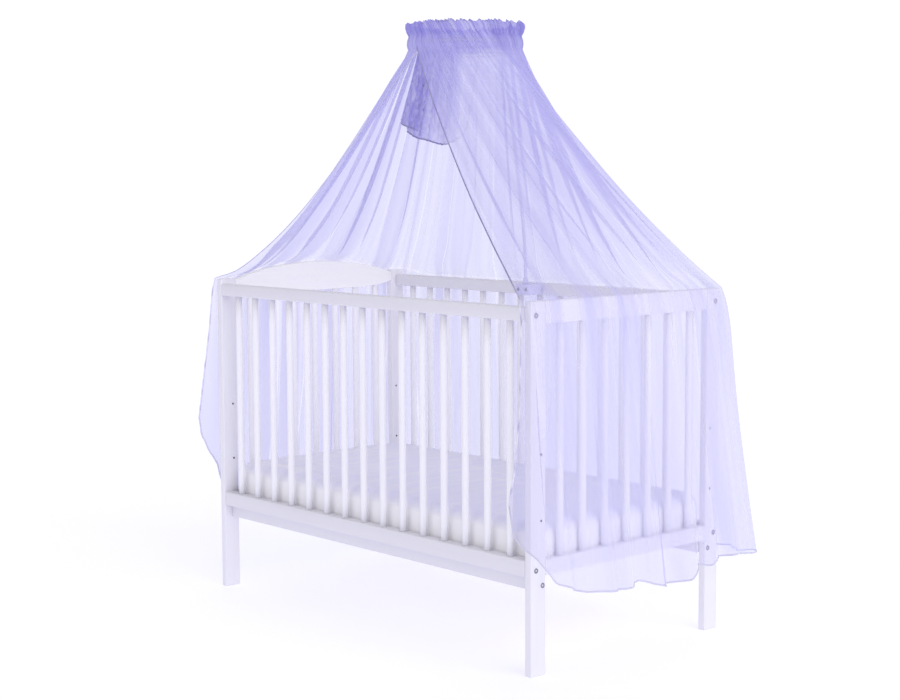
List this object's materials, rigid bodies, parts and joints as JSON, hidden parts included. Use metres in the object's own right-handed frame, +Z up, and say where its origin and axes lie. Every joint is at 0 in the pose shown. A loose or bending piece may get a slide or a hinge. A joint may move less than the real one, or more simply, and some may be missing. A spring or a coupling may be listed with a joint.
{
  "type": "mosquito net canopy over a cot",
  "caption": "Sheer gathered net canopy on a hoop, parted at the front and falling outside three sides of a slatted wooden cot with its mattress.",
  "frame": {"origin": "on the floor, under the middle of the whole part's box", "axes": "+Z up; +X along the cot's long side, away from the headboard; the net's front opening faces -Y"},
  "size_m": [1.4165, 0.7834, 1.545],
  "materials": {
    "lilac_voile": "sheer lilac voile with a fine plain weave, soft folds and narrow rolled hems",
    "painted_wood": "white satin paint over pine",
    "slat_wood": "bare planed pine",
    "mattress_cotton": "white cotton sheet drawn over a foam pad",
    "painted_steel": "white powder coat",
    "steel_fitting": "zinc-plated steel"
  },
  "bodies": {
    "root": {"bar_front_01": "painted_wood", "bar_front_02": "painted_wood", "bar_front_03": "painted_wood", "bar_front_04": "painted_wood", "bar_front_05": "painted_wood", "bar_front_06": "painted_wood", "bar_front_07": "painted_wood", "bar_front_08": "painted_wood", "bar_front_09": "painted_wood", "bar_front_10": "painted_wood", "bar_front_11": "painted_wood", "bar_front_12": "painted_wood", "bar_front_13": "painted_wood", "bar_front_14": "painted_wood", "bar_front_15": "painted_wood", "bar_back_01": "painted_wood", "bar_back_02": "painted_wood", "bar_back_03": "painted_wood", "bar_back_04": "painted_wood", "bar_back_05": "painted_wood", "bar_back_06": "painted_wood", "bar_back_07": "painted_wood", "bar_back_08": "painted_wood", "bar_back_09": "painted_wood", "bar_back_10": "painted_wood", "bar_back_11": "painted_wood", "bar_back_12": "painted_wood", "bar_back_13": "painted_wood", "bar_back_14": "painted_wood", "bar_back_15": "painted_wood", "beam_back": "painted_wood", "beam_front": "painted_wood", "end_left_grille": "painted_wood", "end_right_grille": "painted_wood", "end_right_top_rail": "painted_wood", "headboard": "painted_wood", "post_left_back": "painted_wood", "post_left_front": "painted_wood", "post_right_back": "painted_wood", "post_right_front": "painted_wood", "rail_back_low": "painted_wood", "rail_back_top": "painted_wood", "rail_front_low": "painted_wood", "rail_front_top": "painted_wood", "slatted_base": "slat_wood", "mattress": "mattress_cotton", "hoop": "painted_steel", "pole": "painted_steel", "pole_foot": "steel_fitting", "net": "lilac_voile"}
  },
  "joints": []
}
